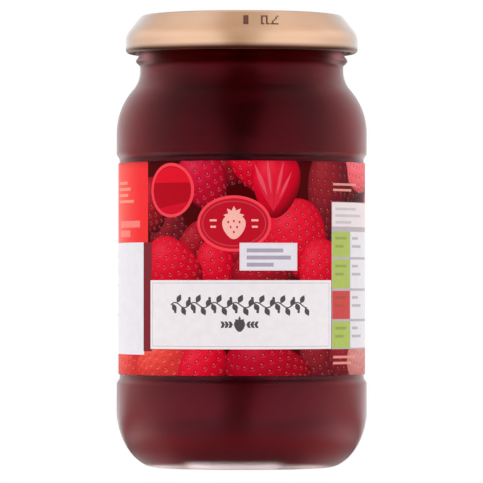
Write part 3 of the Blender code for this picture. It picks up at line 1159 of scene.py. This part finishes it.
def draw_strip(sheet):
    """A white strip with faint grey marks."""
    sheet.box(-0.6, 56.4, 16.2, 64.2, srgb(238, 222, 230))
    sheet.box(-0.2, 56.8, 15.8, 63.8, srgb(236, 230, 238))
    sheet.bars(1.4, 14.2, 62.6, 2.0, 1.1, (0.82, 1.0, 0.6), srgb(178, 166, 184))


def draw_plate(sheet):
    """The white plate in the middle, with a vine across it and a berry below."""
    sheet.box(-32.0, 33.6, -28.4, 64.4, srgb(132, 44, 54))
    sheet.cover(-28.9, 34.3, 28.2, 53.7, PAPER_WHITE)
    sheet.box(-28.1, 35.0, 27.4, 53.0, srgb(206, 200, 206))
    sheet.box(-27.9, 35.2, 27.2, 52.8, PAPER_WHITE)
    left, right, middle = -21.3, 19.3, 46.7
    wave, swing = 6.0, 0.75

    def on_vine(s):
        return (s, middle + swing * math.sin(2 * math.pi * (s - left) / wave))

    sheet.add(ribbon([on_vine(left + (right - left) * share) for share in steps(80)], 0.17), GREY_INK)
    for i, share in enumerate(steps(26)):
        s = left + 0.6 + (right - left - 1.2) * share
        root = on_vine(s)
        up = 1 if i % 2 else -1
        sheet.add(leaf(root, 2.75, 0.78, up * 62), GREY_INK)
        if i:
            dot = (s - 0.55, middle - up * 1.9)
            sheet.add(ellipse(dot, 0.42, 0.42, 0.0, 10), GREY_INK)
    s, z = -0.6, 41.2
    sheet.add(berry_outline((s, z - 0.3), 1.5, 1.75, SMALL_TAPER, count=26), GREY_INK)
    for tilt in (20, 90, 160):
        sheet.add(leaf((s, z + 0.9), 1.5, 0.35, tilt), GREY_INK)
    for side in (-1, 1):
        for i in range(3):
            for tilt in (side * 50 - 90, 90 - side * 50):
                sheet.add(leaf((s + side * (2.0 + 1.1 * i), z), 1.5, 0.38, tilt), GREY_INK)
        sheet.add(ribbon([(s + side * 1.8, z), (s + side * 5.0, z)], 0.13), GREY_INK)


def draw_column(sheet):
    """The stack of small boxes at the right of the plate, as tables of contents have."""
    left, middle, right = 28.4, 37.2, 56.0
    edge = srgb(190, 180, 186)
    white = srgb(232, 226, 230)
    pale = srgb(228, 150, 140)
    sheet.bars(left + 0.6, 42.0, 81.2, 1.6, 0.65, (0.95, 0.7), pale)
    sheet.cover(left, 34.2, right, 75.9, edge)
    sheet.box(left + 0.2, 68.9, right - 0.2, 75.7, srgb(237, 221, 222))
    sheet.bars(left + 1.6, 46.0, 74.3, 1.9, 0.75, (0.7, 0.95, 0.5), srgb(204, 198, 202))
    levels = ((60.3, 67.5), (51.4, 59.6), (42.7, 50.7), (34.5, 42.0))
    for (low, high), ink in zip(levels, (LEAF_GREEN, LEAF_GREEN, BOX_RED, LEAF_GREEN)):
        sheet.box(left + 0.2, low, middle, high, ink)
        sheet.box(middle + 0.3, low, right - 0.2, high, white)
        tint = mixed(ink, srgb(90, 90, 60), 0.35)
        sheet.bars(left + 1.6, middle - 1.4, high - 1.5, 2.3, 0.75, (0.9, 0.65), tint)
        sheet.bars(middle + 1.3, 47.0, high - 1.5, 2.3, 0.75, (0.5, 0.8), srgb(188, 184, 190))
    sheet.bars(left + 0.6, 44.0, 32.3, 1.7, 0.7, (0.8, 0.6), srgb(226, 150, 142))


def draw_back(sheet):
    """A plain white panel with bars of small print on the side that the photograph doesn't show."""
    sheet.cover(66.0, 32.6, 102.0, 82.0, srgb(240, 236, 240))
    widths = (0.6, 0, 1.0, 0.95, 0.98, 0.9, 1.0, 0.7, 0, 0.96, 1.0, 0.9, 0.5, 0, 1.0, 0.94, 0.97, 0.6)
    sheet.bars(69.0, 99.0, 79.0, 2.45, 0.85, widths, GREY_INK)


def label_material():
    """Coated paper: the print, a faint mottle of the ink and a fine grain."""
    material, graph, shader, place = new_material("coated_paper_print")
    ink = graph.node("VertexColor", {"layer_name": "print"}).outputs["Color"]
    mottle = graph.stretch(graph.noise(place, 2.2 * MM, 3.0), 0.2, 0.8, 1.015, 1.075)
    cloud = graph.noise(place, 16 * MM, 2.0)
    fibre = graph.noise(place, 0.35 * MM, 2.0)
    graph.feed(shader, {
        "Base Color": graph.mix(1.0, ink, mottle, "MULTIPLY"),
        "Roughness": graph.stretch(cloud, 0.3, 0.7, 0.34, 0.42),
        "Specular IOR Level": 0.03,
        "Normal": graph.bump(fibre, 0.1, 0.02 * MM),
    })
    return material


def make_label():
    """The wrap-round paper label, with its overlap at the back."""
    sheet = Sheet()
    draw_background(sheet)
    draw_left_field(sheet)
    draw_back(sheet)
    draw_roundel(sheet, -21.15, 79.1)
    draw_medallion(sheet, -2.2, 69.6)
    draw_strip(sheet)
    draw_plate(sheet)
    draw_column(sheet)
    mesh = sheet.mesh("label_paper", LABEL_RADIUS - 0.05 * MM)
    mesh.materials.append(label_material())
    piece = add_object("label_paper", mesh)
    thickness = piece.modifiers.new("paper", "SOLIDIFY")
    thickness.thickness = PAPER
    thickness.offset = -1.0
    add_piece(piece, "label")


make_camera()
make_world()
make_floor()
make_glass()
make_jam()
make_lid()
make_lid_ink()
make_label()

view = bpy.context.scene.view_settings
view.view_transform = "Standard"
view.look = "None"
